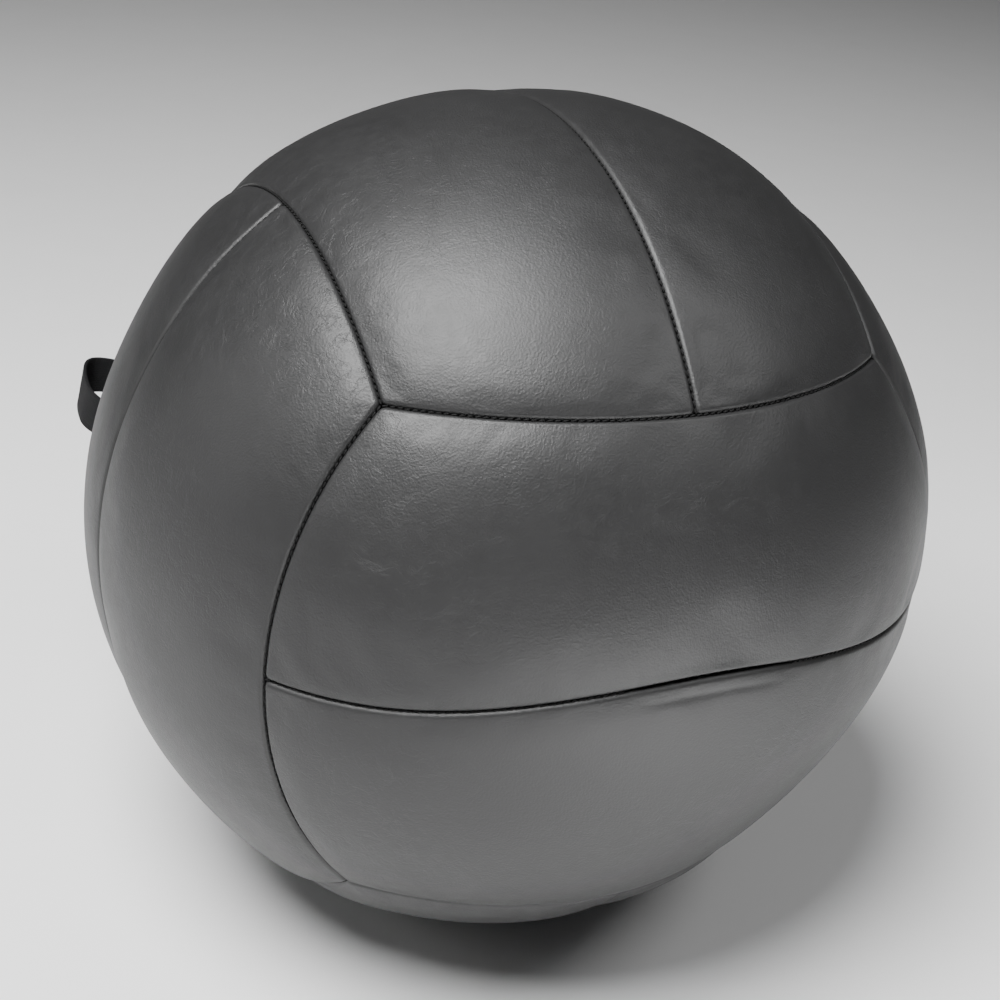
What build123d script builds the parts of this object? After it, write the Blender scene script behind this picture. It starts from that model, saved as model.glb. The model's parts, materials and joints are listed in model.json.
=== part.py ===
from build123d import *

import os
from math import asin, atan2, cos, degrees, radians, sin, sqrt

# A soft-shell medicine ball: twelve sewn cover panels over foam pads, a liner bag, fibre fill and a
# weighted core, with a webbing carrying loop sewn into one seam. Millimetres, +Z up. The origin is the
# middle of the flat that the ball rests on; the front faces -Y and the loop is on the left, at -X.

# Driving dimensions
BALL_DIAMETER = 350.0
REST_PATCH_DIAMETER = 90.0    # the flat that the soft shell takes when the ball stands
JUNCTION_ANGLE = 53.3         # from a face's middle to the ends of its middle seam, in degrees
COVER_THICKNESS = 1.4
FLANGE_CLEARANCE = 0.6        # from the end of a panel's turned-in edge to the back of the pads
SEAM_GAP = 0.3                # between the turned-in edges of two panels
SEAM_ROUNDING = 3.0           # the rolled edge along every seam
PAD_THICKNESS = 8.0
PAD_CLEARANCE = 0.2           # between a pad and its cover
LINER_SPACE = 1.6             # between the pads and the liner bag, where the loop's patch lies
LINER_THICKNESS = 1.0
CORE_DIAMETER = 124.0
CORE_BAG_THICKNESS = 1.0
FILL_CLEARANCE = 0.2          # between fill and the bag around it
BAG_HALF_GAP = 0.3            # between the sewn halves of a bag
THREAD_DIAMETER = 0.9
THREAD_DEPTH = 1.3            # from the surface to the middle of the seam thread
THREAD_END_GAP = 1.6          # from a thread's end to the junction that it runs to
CLOSING_START = -32.0         # the hand-closed stretch of the front seam, along X
CLOSING_LENGTH = 66.0
CLOSING_STITCHES = 15
CLOSING_THREAD_DIAMETER = 0.7
CLOSING_DEPTH = 0.4
CLOSING_HALF_WIDTH = 0.9
CLOSING_SLANT = 0.8
WEBBING_WIDTH = 18.0
WEBBING_THICKNESS = 1.6
LOOP_LENGTH = 66.0
LOOP_WIDTH = 33.0
LOOP_WIDEST = 34.0            # from the root to the widest place
LOOP_TIP_RADIUS = 9.5
LOOP_FLARE_RADIUS = 10.0
LOOP_ROOT_LENGTH = 4.0
LOOP_LAYER_GAP = 0.3          # half the opening where the two layers part
LOOP_LEAN = 57.0              # how far the loop lies over, from upright, in degrees
HINGE_HEIGHT = 1.0            # the line that the loop folds about, above the surface
TAIL_CLEARANCE = 0.3
TAIL_FOOT_LENGTH = 14.0
PATCH_SIZE = 46.0
PATCH_THICKNESS = 1.0
PATCH_GAP = 0.2
BARTACK_LENGTH = 3.0
BARTACK_THICKNESS = 0.6

# Sizes that follow from them
RADIUS = BALL_DIAMETER / 2
CENTRE_HEIGHT = sqrt(RADIUS**2 - (REST_PATCH_DIAMETER / 2)**2)
CENTRE = Vector(0, 0, CENTRE_HEIGHT)
SAG = RADIUS - CENTRE_HEIGHT
MARGIN = 20.0                 # how far cutting tools reach past the ball
CONE_START = 0.6              # where a seam's cutting cone begins, as a share of the seam's own height
PAD_OUTER_DEPTH = COVER_THICKNESS + PAD_CLEARANCE
PAD_INNER_DEPTH = PAD_OUTER_DEPTH + PAD_THICKNESS
FLANGE_DEPTH = PAD_INNER_DEPTH - FLANGE_CLEARANCE   # how far each panel's edge turns into its seam
PAD_SIDE_GAP = SEAM_GAP / 2 + COVER_THICKNESS + PAD_CLEARANCE
LINER_OUTER_DEPTH = PAD_INNER_DEPTH + LINER_SPACE
LINER_INNER_DEPTH = LINER_OUTER_DEPTH + LINER_THICKNESS
CORE_RADIUS = CORE_DIAMETER / 2
THREAD_RADIUS = THREAD_DIAMETER / 2
CORE_THREAD_RADIUS = CORE_RADIUS + FILL_CLEARANCE + THREAD_RADIUS
FIBRE_INNER_RADIUS = CORE_THREAD_RADIUS + THREAD_RADIUS + FILL_CLEARANCE
LINER_THREAD_DEPTH = LINER_OUTER_DEPTH - FILL_CLEARANCE - THREAD_RADIUS

# Each seam between two faces of the ball is a circle about the ball's centre line `seam_axis`: it runs
# from corner to corner of an inscribed cube, through the end of one face's middle seam.
CORNER = 1 / sqrt(3)
LEAN_RATIO = (cos(radians(JUNCTION_ANGLE)) - CORNER) / (sin(radians(JUNCTION_ANGLE)) - CORNER)
SEAM_AXIS_UP = 1 / sqrt(1 + LEAN_RATIO**2)
SEAM_AXIS_BACK = LEAN_RATIO * SEAM_AXIS_UP
SEAM_COSINE = (SEAM_AXIS_UP - SEAM_AXIS_BACK) * CORNER
SEAM_SINE = sqrt(1 - SEAM_COSINE**2)
SEAM_HALF_ARC = degrees(asin(CORNER / SEAM_SINE))

# The base panel is the left one on top. These turns about the ball's centre carry it to all twelve.
TURNS = {
    "top_left": [],
    "bottom_left": [Axis.X],
    "bottom_right": [Axis.Y],
    "top_right": [Axis.Z],
}
CYCLES = [
    ["top_left", "bottom_left", "bottom_right", "top_right"],
    ["right_front", "left_front", "left_back", "right_back"],
    ["back_lower", "front_lower", "front_upper", "back_upper"],
]
LOOP_PANELS = ("left_back", "back_upper", "back_lower")
DIAGONAL = Axis((0, 0, 0), (1, 1, 1))
CYCLE_ANGLE = 120


def panel_turns():
    """Every panel's name with the function that turns the base panel to it."""
    turns = {}
    for cycle, names in enumerate(CYCLES):
        for half_turns, name in zip(TURNS.values(), names):
            turns[name] = (half_turns, cycle)
    return turns


def turned(shape, turn):
    """A shape about the ball's centre, carried by one of the twelve turns."""
    half_turns, cycle = turn
    for axis in half_turns:
        shape = shape.rotate(axis, 180)
    return shape.rotate(DIAGONAL, CYCLE_ANGLE * cycle)


def above(height):
    """The half-space over a level, measured from the ball's centre."""
    size = BALL_DIAMETER + 2 * MARGIN
    return Pos(0, 0, height) * Box(size, size, size, align=(Align.CENTER, Align.CENTER, Align.MIN))


def body_at(depth):
    """The resting ball's whole form, taken in by a depth on every side, about its centre."""
    return Sphere(RADIUS - depth) & above(depth - CENTRE_HEIGHT)


def seam_cone(axis, far_side, grow):
    """The solid inside one circular seam, made wider by `grow`: a cone cut off short of the ball's centre."""
    start = RADIUS * SEAM_COSINE * CONE_START
    end = RADIUS + MARGIN
    slope = SEAM_SINE / SEAM_COSINE
    apex = -grow / SEAM_SINE
    plane = Plane(origin=axis * start, x_dir=far_side, z_dir=axis)
    upright = (Align.CENTER, Align.CENTER, Align.MIN)
    cone = Cone((start - apex) * slope, (end - apex) * slope, end - start, align=upright)
    return plane * cone


def base_sector(outer_depth, inner_depth, side_gap):
    """The ball's layer under the base panel, between two depths and a gap short of every seam."""
    reach = RADIUS + MARGIN
    left_half = Box(reach, 2 * reach, 2 * reach, align=(Align.MAX, Align.CENTER, Align.CENTER))
    left = Pos(-side_gap, 0, 0) * left_half
    right = Vector(1, 0, 0)
    down = Vector(SEAM_AXIS_BACK, 0, -SEAM_AXIS_UP)
    layer = Rot(0, 90, 0) * Sphere(RADIUS - outer_depth) - Rot(0, 90, 0) * Sphere(RADIUS - inner_depth)
    layer = layer & left & seam_cone(Vector(0, SEAM_AXIS_BACK, SEAM_AXIS_UP), right, -side_gap)
    layer = layer - seam_cone(Vector(-SEAM_AXIS_UP, 0, -SEAM_AXIS_BACK), down, side_gap)
    return layer & seam_cone(Vector(0, -SEAM_AXIS_BACK, SEAM_AXIS_UP), right, -side_gap)


def loop_frame(height):
    """The frame where the loop leaves the ball: X out of the ball, Y round it to the front, Z up."""
    outward = Vector(-sin(radians(JUNCTION_ANGLE)), cos(radians(JUNCTION_ANGLE)), 0)
    return Plane(origin=outward * (RADIUS + height), x_dir=outward, z_dir=(0, 0, 1))


def loop_box(depth, length, width, height):
    """A block round the loop's seam, from a depth inward, `width` across the seam and `height` along it."""
    box = Box(length, width, height, align=(Align.MAX, Align.CENTER, Align.CENTER))
    return loop_frame(-depth) * box


def shell(outer_depth, inner_depth):
    """A layer of the ball between two depths."""
    return body_at(outer_depth) - body_at(inner_depth)


def tail_space(clearance):
    """The room that the loop's sewn-in tail takes between the panels and between the pads."""
    ply_width = 2 * WEBBING_THICKNESS + 2 * clearance
    tall = WEBBING_WIDTH + 2 * clearance
    foot_top = PAD_INNER_DEPTH - WEBBING_THICKNESS
    neck = loop_box(-MARGIN, MARGIN + PAD_INNER_DEPTH + MARGIN, ply_width, tall)
    foot_width = ply_width + 2 * TAIL_FOOT_LENGTH
    feet = loop_box(-MARGIN, MARGIN + PAD_INNER_DEPTH + MARGIN, foot_width, tall)
    tack_room = foot_top - BARTACK_THICKNESS - clearance
    return neck + (feet & shell(tack_room, PAD_INNER_DEPTH + clearance))


def seam_groove_at_rest():
    """The groove that the bottom's middle seam keeps where the ball is pressed flat."""
    half_width = SEAM_ROUNDING * (1 - 1 / sqrt(2)) + SEAM_GAP / 2
    half_length = REST_PATCH_DIAMETER / 2 + SEAM_ROUNDING
    profile = Polyline((-half_width, 0), (half_width, 0), (0, SEAM_ROUNDING), close=True)
    end = Plane(origin=(0, half_length, -CENTRE_HEIGHT), x_dir=(1, 0, 0), z_dir=(0, -1, 0))
    face = end * make_face(profile)
    return extrude(face, 2 * half_length)


def cover_panels():
    """Twelve leather panels, each with its edges turned into the seams."""
    deep = FLANGE_DEPTH + SAG
    outer = base_sector(0, deep, SEAM_GAP / 2)
    rim = outer.edges().filter_by(lambda edge: abs((edge @ 0.5).length - RADIUS) < SEAM_GAP)
    outer = fillet(rim, SEAM_ROUNDING)
    hollow = base_sector(COVER_THICKNESS, deep + COVER_THICKNESS, SEAM_GAP / 2 + COVER_THICKNESS)
    slot = tail_space(TAIL_CLEARANCE)
    groove = seam_groove_at_rest()
    parts = {}
    for name, turn in panel_turns().items():
        blank = turned(outer, turn)
        inside = turned(hollow, turn)
        if name.startswith("bottom"):
            blank = (blank & above(-CENTRE_HEIGHT)) - groove
            inside = inside & above(COVER_THICKNESS - CENTRE_HEIGHT)
        panel = blank - inside - body_at(FLANGE_DEPTH)
        if name in LOOP_PANELS:
            panel = panel - slot
        parts["panel_" + name] = panel
    return parts


def foam_pads():
    """A foam pad under each panel, between its turned-in edges."""
    base = base_sector(PAD_OUTER_DEPTH, PAD_INNER_DEPTH + SAG, PAD_SIDE_GAP)
    slot = tail_space(TAIL_CLEARANCE)
    parts = {}
    for name, turn in panel_turns().items():
        pad = turned(base, turn)
        if name.startswith("bottom"):
            pad = pad & above(PAD_OUTER_DEPTH - CENTRE_HEIGHT)
        pad = pad - body_at(PAD_INNER_DEPTH)
        if name in LOOP_PANELS:
            pad = pad - slot
        parts["foam_" + name] = pad
    return parts


def thread_arc(axis, start, radius, height, half_angle):
    """Thread along a circle about an axis: half the arc lies each side of the start direction."""
    first = start.rotate(Axis((0, 0, 0), axis), -half_angle)
    plane = Plane(origin=axis * height, x_dir=first, z_dir=axis)
    section = Plane.XZ * Pos(radius, 0, 0) * Circle(THREAD_RADIUS)
    return plane * revolve(section, Axis.Z, 2 * half_angle)


def seam_threads():
    """The lockstitch thread in the bottom of each seam: six middle seams and twelve face edges."""
    radius = RADIUS - THREAD_DEPTH
    end_angle = degrees(THREAD_END_GAP / radius)
    middle = thread_arc(Vector(1, 0, 0), Vector(0, 0, 1), radius, 0, JUNCTION_ANGLE - end_angle)
    toward_junction = Vector(0, -SEAM_AXIS_UP, SEAM_AXIS_BACK)
    edge = thread_arc(
        Vector(0, SEAM_AXIS_BACK, SEAM_AXIS_UP),
        toward_junction,
        radius * SEAM_SINE,
        radius * SEAM_COSINE,
        SEAM_HALF_ARC - end_angle / SEAM_SINE,
    )
    middle_names = [["top", "bottom"], ["right", "left"], ["back", "front"]]
    edge_names = [
        ["top_front", "bottom_back", "bottom_front", "top_back"],
        ["right_bottom", "left_top", "left_bottom", "right_top"],
        ["back_left", "front_right", "front_left", "back_right"],
    ]
    slot = tail_space(TAIL_CLEARANCE)
    parts = {}
    for cycle in range(len(CYCLES)):
        for name, half_turns in zip(middle_names[cycle], ([], [Axis.X])):
            parts["thread_" + name] = turned(middle, (half_turns, cycle))
        for name, half_turns in zip(edge_names[cycle], TURNS.values()):
            parts["thread_" + name] = turned(edge, (half_turns, cycle))
    parts["thread_bottom"] = thread_at_rest(JUNCTION_ANGLE - end_angle)
    for name in ("thread_back_left", "thread_back"):
        parts[name] = parts[name] - slot
    return parts


def thread_at_rest(half_angle):
    """The bottom's middle thread: straight over the flat that the ball stands on, and an arc at each end."""
    radius = RADIUS - THREAD_DEPTH
    floor = CENTRE_HEIGHT - THREAD_DEPTH
    half_run = sqrt(radius**2 - floor**2)
    bend = degrees(asin(half_run / radius))
    half_arc = (half_angle - bend) / 2
    arcs = []
    for side in (-1, 1):
        middle = Vector(0, 0, -1).rotate(Axis.X, side * (bend + half_arc))
        arcs.append(thread_arc(Vector(1, 0, 0), middle, radius, 0, half_arc))
    corner = THREAD_RADIUS * sin(radians(bend))
    run = Pos(0, 0, -floor) * Rot(90, 0, 0) * Cylinder(THREAD_RADIUS, 2 * (half_run - corner))
    return Compound(arcs + [run])


def closing_stitches():
    """The hand stitches that close the last stretch of the front's middle seam."""
    radius = RADIUS - CLOSING_DEPTH
    thread = CLOSING_THREAD_DIAMETER / 2
    stitch = Cylinder(thread, 2 * CLOSING_HALF_WIDTH)
    stitch += Pos(0, 0, CLOSING_HALF_WIDTH) * Sphere(thread)
    stitch += Pos(0, 0, -CLOSING_HALF_WIDTH) * Sphere(thread)
    slant = degrees(atan2(CLOSING_SLANT, 2 * CLOSING_HALF_WIDTH))
    stitches = []
    for index in range(CLOSING_STITCHES):
        along = CLOSING_START + CLOSING_LENGTH * index / (CLOSING_STITCHES - 1)
        turn = asin(along / radius)
        place = Pos(radius * sin(turn), -radius * cos(turn), 0) * Rot(0, 0, degrees(turn)) * Rot(0, slant, 0)
        stitches.append(place * stitch)
    return {"closing_stitches": Compound(stitches)}


def bag_halves(outer, inner):
    """A bag's upper and lower halves, with the seam's allowance between them."""
    whole = outer - inner
    upper = whole & above(BAG_HALF_GAP / 2)
    lower = whole - above(-BAG_HALF_GAP / 2)
    return upper, lower


def liner_and_fill():
    """The liner bag inside the pads, and the fibre fill packed round the core in two halves."""
    thread_radius = RADIUS - LINER_THREAD_DEPTH
    patch_angle = degrees(asin((PATCH_SIZE / 2 + PATCH_GAP + THREAD_DIAMETER) / thread_radius))
    away_from_loop = -loop_frame(0).x_dir
    liner_upper, liner_lower = bag_halves(body_at(LINER_OUTER_DEPTH), body_at(LINER_INNER_DEPTH))
    fill_outer = body_at(LINER_INNER_DEPTH + FILL_CLEARANCE)
    fill_upper, fill_lower = bag_halves(fill_outer, Sphere(FIBRE_INNER_RADIUS))
    return {
        "liner_upper": liner_upper,
        "liner_lower": liner_lower,
        "liner_thread": thread_arc(Vector(0, 0, 1), away_from_loop, thread_radius, 0, 180 - patch_angle),
        "fibre_fill_upper": fill_upper,
        "fibre_fill_lower": fill_lower,
    }


def weighted_core():
    """The heavy middle: a sewn bag filled with iron sand."""
    inner_radius = CORE_RADIUS - CORE_BAG_THICKNESS
    bag_upper, bag_lower = bag_halves(Sphere(CORE_RADIUS), Sphere(inner_radius))
    return {
        "core_bag_upper": bag_upper,
        "core_bag_lower": bag_lower,
        "core_thread": Torus(CORE_THREAD_RADIUS, THREAD_RADIUS),
        "core_weight": Sphere(inner_radius - FILL_CLEARANCE),
    }


def loop_outline(inset):
    """Half the loop's outline from its tip to its root, taken in by an inset: points and arcs."""
    half = LOOP_WIDTH / 2
    level = WEBBING_THICKNESS
    run = LOOP_LENGTH - LOOP_TIP_RADIUS - LOOP_WIDEST
    side_radius = (run**2 + half**2 - LOOP_TIP_RADIUS**2) / (2 * (half - LOOP_TIP_RADIUS))
    rise = half - level - LOOP_FLARE_RADIUS
    reach = LOOP_WIDEST - LOOP_ROOT_LENGTH
    back_radius = (reach**2 + rise**2 - LOOP_FLARE_RADIUS**2) / (2 * (LOOP_FLARE_RADIUS + rise))
    tip_centre = Vector(LOOP_LENGTH - LOOP_TIP_RADIUS, 0)
    side_centre = Vector(LOOP_WIDEST, half - side_radius)
    back_centre = Vector(LOOP_WIDEST, half - back_radius)
    flare_centre = Vector(LOOP_ROOT_LENGTH, level + LOOP_FLARE_RADIUS)
    tip = Vector(LOOP_LENGTH - inset, 0)
    shoulder = tip_centre + (tip_centre - side_centre).normalized() * (LOOP_TIP_RADIUS - inset)
    widest = Vector(LOOP_WIDEST, half - inset)
    flare_end = flare_centre + (back_centre - flare_centre).normalized() * (LOOP_FLARE_RADIUS + inset)
    root = Vector(LOOP_ROOT_LENGTH, level - inset)
    arcs = [
        TangentArc(tip, shoulder, tangent=(0, 1)),
        TangentArc(widest, shoulder, tangent=(1, 0)),
        TangentArc(widest, flare_end, tangent=(-1, 0)),
        TangentArc(root, flare_end, tangent=(1, 0)),
    ]
    return arcs, root


def carrying_loop():
    """The webbing loop, lying over to the back on the line where it leaves the seam."""
    outer_arcs, outer_root = loop_outline(0)
    top = Vector(0, WEBBING_THICKNESS)
    round_end = ThreePointArc(top, (-WEBBING_THICKNESS, 0), -top)
    line = Line(outer_root, top)
    outer = outer_arcs + [line] + [edge.mirror(Plane.XZ) for edge in outer_arcs + [line]] + [round_end]
    inner_arcs, inner_root = loop_outline(WEBBING_THICKNESS)
    inner = inner_arcs + [edge.mirror(Plane.XZ) for edge in inner_arcs]
    flare = LOOP_FLARE_RADIUS + WEBBING_THICKNESS
    parting = inner_root.X + sqrt(flare**2 - (flare - LOOP_LAYER_GAP)**2)
    opening = Rectangle(LOOP_LENGTH, LOOP_WIDTH, align=(Align.MIN, Align.CENTER))
    hole = make_face(inner) & Pos(parting, 0) * opening
    face = make_face(outer) - hole
    loop = extrude(face, WEBBING_WIDTH / 2, both=True)
    return {"loop_webbing": loop_frame(HINGE_HEIGHT) * Rot(0, 0, -LOOP_LEAN) * loop}


def loop_tail():
    """The loop's two ends: they pass between the panels, and a foot of each is sewn to a patch."""
    root_bottom = WEBBING_THICKNESS - HINGE_HEIGHT + TAIL_CLEARANCE
    foot_layer = shell(PAD_INNER_DEPTH - WEBBING_THICKNESS, PAD_INNER_DEPTH)
    tack_top = PAD_INNER_DEPTH - WEBBING_THICKNESS - BARTACK_THICKNESS
    tack_layer = shell(tack_top, PAD_INNER_DEPTH - WEBBING_THICKNESS)
    frame = loop_frame(0)
    plies = []
    tacks = []
    for side in (-1, 1):
        align = (Align.MAX, Align.MIN if side > 0 else Align.MAX, Align.CENTER)
        ply_length = PAD_INNER_DEPTH - root_bottom
        ply = frame * Pos(-root_bottom, 0, 0) * Box(ply_length, WEBBING_THICKNESS, WEBBING_WIDTH, align=align)
        foot_length = WEBBING_THICKNESS + TAIL_FOOT_LENGTH
        foot = frame * Box(2 * MARGIN, foot_length, WEBBING_WIDTH, align=align)
        plies.append((ply - Sphere(RADIUS - PAD_INNER_DEPTH)) + (foot & foot_layer))
        tack_start = side * (WEBBING_THICKNESS + TAIL_FOOT_LENGTH / 2)
        tack_width = WEBBING_WIDTH - BARTACK_LENGTH
        tack = frame * Pos(0, tack_start, 0) * Box(2 * MARGIN, BARTACK_LENGTH, tack_width, align=align)
        tacks.append(tack & tack_layer)
    patch_top = PAD_INNER_DEPTH + PATCH_GAP
    patch = loop_box(-MARGIN, MARGIN + LINER_INNER_DEPTH, PATCH_SIZE, PATCH_SIZE)
    return {
        "loop_tail": Compound(plies),
        "loop_bartacks": Compound(tacks),
        "loop_patch": patch & shell(patch_top, patch_top + PATCH_THICKNESS),
    }


def main():
    """Write one STEP file for each piece, moved up so that the ball stands on the origin."""
    os.makedirs("parts", exist_ok=True)
    pieces = {}
    for group in (cover_panels, foam_pads, seam_threads, closing_stitches, liner_and_fill, weighted_core):
        pieces.update(group())
    pieces.update(carrying_loop())
    pieces.update(loop_tail())
    for name, piece in pieces.items():
        export_step(Location(CENTRE) * piece, "parts/" + name + ".step")


main()
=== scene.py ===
import json
from math import acos, asin, cos, exp, pi, radians, sin, sqrt

import bmesh
import bpy
from mathutils import Matrix, Vector, noise


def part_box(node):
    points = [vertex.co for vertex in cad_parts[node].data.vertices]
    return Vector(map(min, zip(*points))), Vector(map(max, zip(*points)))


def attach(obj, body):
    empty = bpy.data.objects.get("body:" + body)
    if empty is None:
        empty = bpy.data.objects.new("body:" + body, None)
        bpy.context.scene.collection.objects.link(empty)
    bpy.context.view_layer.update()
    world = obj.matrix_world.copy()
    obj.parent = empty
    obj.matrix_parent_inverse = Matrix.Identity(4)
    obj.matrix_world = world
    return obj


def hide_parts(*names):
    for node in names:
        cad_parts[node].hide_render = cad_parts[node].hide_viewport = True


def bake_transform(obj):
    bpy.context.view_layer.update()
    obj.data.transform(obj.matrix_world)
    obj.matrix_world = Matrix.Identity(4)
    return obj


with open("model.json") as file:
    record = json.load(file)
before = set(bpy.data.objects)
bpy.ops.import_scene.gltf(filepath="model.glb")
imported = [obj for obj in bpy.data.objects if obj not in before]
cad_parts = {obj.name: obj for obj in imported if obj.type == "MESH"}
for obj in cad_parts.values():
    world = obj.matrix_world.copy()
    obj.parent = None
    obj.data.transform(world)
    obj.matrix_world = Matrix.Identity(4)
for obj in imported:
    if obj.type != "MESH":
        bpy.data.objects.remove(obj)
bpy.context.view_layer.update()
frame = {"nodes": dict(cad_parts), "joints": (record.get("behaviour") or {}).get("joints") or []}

# The ball, from the frame
core_low, core_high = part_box("core_weight")
CENTRE = (core_low + core_high) / 2
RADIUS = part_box("panel_top_left")[1].z - CENTRE.z

# The pattern of seams: unit directions from the ball's centre
JUNCTION_ANGLE = radians(53.3)
CORNER = 1 / sqrt(3)
LEAN_RATIO = (cos(JUNCTION_ANGLE) - CORNER) / (sin(JUNCTION_ANGLE) - CORNER)
SEAM_UP = 1 / sqrt(1 + LEAN_RATIO**2)
SEAM_BACK = LEAN_RATIO * SEAM_UP
SEAM_HEIGHT = (SEAM_UP - SEAM_BACK) * CORNER
SEAM_SPREAD = sqrt(1 - SEAM_HEIGHT**2)
SEAM_ARC = asin(CORNER / SEAM_SPREAD)
CYCLE = Matrix.Rotation(radians(120), 3, Vector((1, 1, 1)))
CYCLE_TURNS = [Matrix.Identity(3), CYCLE, CYCLE @ CYCLE]
HALF_TURNS = [Matrix.Identity(3)] + [Matrix.Rotation(pi, 3, axis) for axis in "XYZ"]
PANELS = [
    ["top_left", "bottom_left", "bottom_right", "top_right"],
    ["right_front", "left_front", "left_back", "right_back"],
    ["back_lower", "front_lower", "front_upper", "back_upper"],
]
MIDDLE_SEAMS = [["top", "bottom"], ["right", "left"], ["back", "front"]]
EDGE_SEAMS = [
    ["top_front", "bottom_back", "bottom_front", "top_back"],
    ["right_bottom", "left_top", "left_bottom", "right_top"],
    ["back_left", "front_right", "front_left", "back_right"],
]

# Sewing and leather, in metres
LEATHER = 0.0014
SEAM_HALF_GAP = 0.00015
ROLL_WIDTH = 0.0023        # the rolled edge beside a seam
ROLL_DEPTH = 0.0024
ROLL_STEPS = 5
FLANGE_STEPS = (0.0016, 0.0042)
SEAM_DIP = 0.0008          # how far the padding is drawn in along the seams
DIP_WIDTH = 0.008
PUCKER_HEIGHT = 0.00008
PUCKER_LENGTH = 0.011
PUCKER_REACH = 0.013
UNEVEN_HEIGHT = 0.0005     # the broad unevenness of the padding
UNEVEN_LENGTH = 0.055
STITCH_PITCH = 0.0027
STITCH_LENGTH = 0.0023
STITCH_RADIUS = 0.00044
STITCH_DEPTH = 0.0012
MIDDLE_SLANT = 0.22        # how far a stitch turns off its seam
EDGE_SLANT = 0.16
SEAM_STEP = 0.01           # the share of a seam over which its direction is taken

# The stretch of the front's middle seam that was closed by hand after filling
CLOSING_MIDDLE = 0.002
CLOSING_HALF_LENGTH = 0.037
CLOSING_LEAST = 0.02       # the share from which a place counts as closed by hand
CLOSING_GAP = 0.0006
CLOSING_LIP = 0.0005
LIP_WIDTH = 0.0036
LIP_CREASE = 0.0005
LIP_CREASE_PLACE = 0.0060
LIP_CREASE_WIDTH = 0.0010
CLOSING_PITCH = 0.0042
CLOSING_DEPTH = 0.0022
CLOSING_STITCH_HALF_LENGTH = 0.0016
CLOSING_STITCH_RADIUS = 0.00034
CLOSING_SLANT = 0.75

# Foam pads, in metres
PAD_OUTER_DEPTH = 0.0034
PAD_INNER_DEPTH = 0.0094
PAD_MARGIN = 0.0021
PAD_SOFT_EDGE = 0.001
PAD_ROUNDING = 0.0016
PAD_ROUNDING_WIDTH = 0.004

# How finely the strips are divided, and how much their cells crowd towards the seams
LONG_CELLS = 108
CROSS_CELLS = 38
PAD_LONG_CELLS = 40
PAD_CROSS_CELLS = 14
LONG_CROWDING = 0.45
CROSS_CROWDING = 0.60

# The cloth that pressure fills
PUFF_FRAMES = 20
PUFF_LIMIT = 0.003
SINK_LIMIT = 0.0006
CALMING_STEPS = 10
WRINKLE_SHARE = 0.25       # how much of the cloth's own small wrinkles stays
CLOTH = {
    "quality": 5,
    "mass": 0.35,
    "tension_stiffness": 25,
    "compression_stiffness": 25,
    "shear_stiffness": 12,
    "bending_stiffness": 0.8,
    "use_pressure": True,
    "uniform_pressure_force": 1.4,
    "shrink_min": -0.006,
}

# Where the shell is pressed flat on the floor, the edge of the flat is this soft
FLOOR_SOFTNESS = 0.0012

# The studio. A lamp has a place from the ball's centre, a size and a power, and a pool of light on
# the floor has a place, a spread in degrees and a power.
ROOM_LIGHT = 0.04
LIGHTS = [
    ("overhead", (-0.54, -0.24, 1.17), 0.85, 54.0),
    ("left_fill", (-1.35, 0.45, 0.45), 0.6, 3.0),
    ("right_fill", (0.66, -0.52, 1.05), 0.5, 5.5),
]
FLOOR_LIGHTS = [
    ("front_floor", (0.10, -0.80), 44, 640.0),
    ("right_floor", (0.80, -0.10), 34, 100.0),
]
FLOOR_LIGHT_HEIGHT = 1.5

# The camera
CAMERA_TURN = radians(-26.83)
CAMERA_HEIGHT = radians(26.96)
CAMERA_ROLL = radians(5.8)
CAMERA_DISTANCE = 4.3155       # in ball radii
CAMERA_LENS = 63.1
CAMERA_SHIFT = (-0.003, 0.002)

# How far the front's middle seam is drawn above the face's middle, and how far above and below it
# that can be felt
FRONT_PULL = 0.019
FRONT_PULL_REACH = 0.105

# Where the filling has settled: turn from the front to the right, height angle, spread, and lift
SETTLED = [
    (54, 10, 20, 0.0034),
    (30, -28, 20, -0.0052),
    (-114, 25, 17, -0.0026),
    (-150, 66, 26, -0.0018),
    (-62, -42, 25, 0.0030),
]


def settled_lift(direction):
    """How far the filling pushes the shell out, or lets it sink, in a direction from the centre."""
    lift = 0.0
    for turn, height, spread, amount in SETTLED:
        flat = cos(radians(height))
        middle = Vector((sin(radians(turn)) * flat, -cos(radians(turn)) * flat, sin(radians(height))))
        angle = acos(max(-1.0, min(1.0, direction.dot(middle))))
        lift += amount * exp(-(angle / radians(spread))**2)
    return lift


def drawn(direction):
    """A direction from the centre, moved as the front's middle seam is drawn upward."""
    if direction.y > -0.2:
        return direction
    sideways = min(1.0, abs(direction.x) / sin(JUNCTION_ANGLE))
    upright = min(1.0, abs(direction.z) * RADIUS / FRONT_PULL_REACH)
    pull = FRONT_PULL / RADIUS * cos(pi / 2 * sideways)**2 * cos(pi / 2 * upright)**2
    return (direction + Vector((0, 0, pull))).normalized()


def shell_point(direction, depth):
    """The place on the settled shell in a direction of the pattern, at a depth."""
    direction = drawn(direction)
    return CENTRE + direction * (RADIUS + settled_lift(direction) - depth)


def middle_seam(share):
    """The direction to a place on the base panel's middle seam, by a share from -1 to 1."""
    angle = share * JUNCTION_ANGLE
    return Vector((0, sin(angle), cos(angle)))


def ring_point(axis, toward, sideways, angle):
    """A point of a circular seam: turned by an angle from its middle, towards one side."""
    return axis * SEAM_HEIGHT + (toward * cos(angle) + sideways * sin(angle)) * SEAM_SPREAD


def front_seam(share):
    """The direction to a place on the seam at the base panel's front end."""
    axis = Vector((0, SEAM_BACK, SEAM_UP))
    toward = Vector((0, -SEAM_UP, SEAM_BACK))
    return ring_point(axis, toward, Vector((-1, 0, 0)), share * SEAM_ARC)


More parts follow.
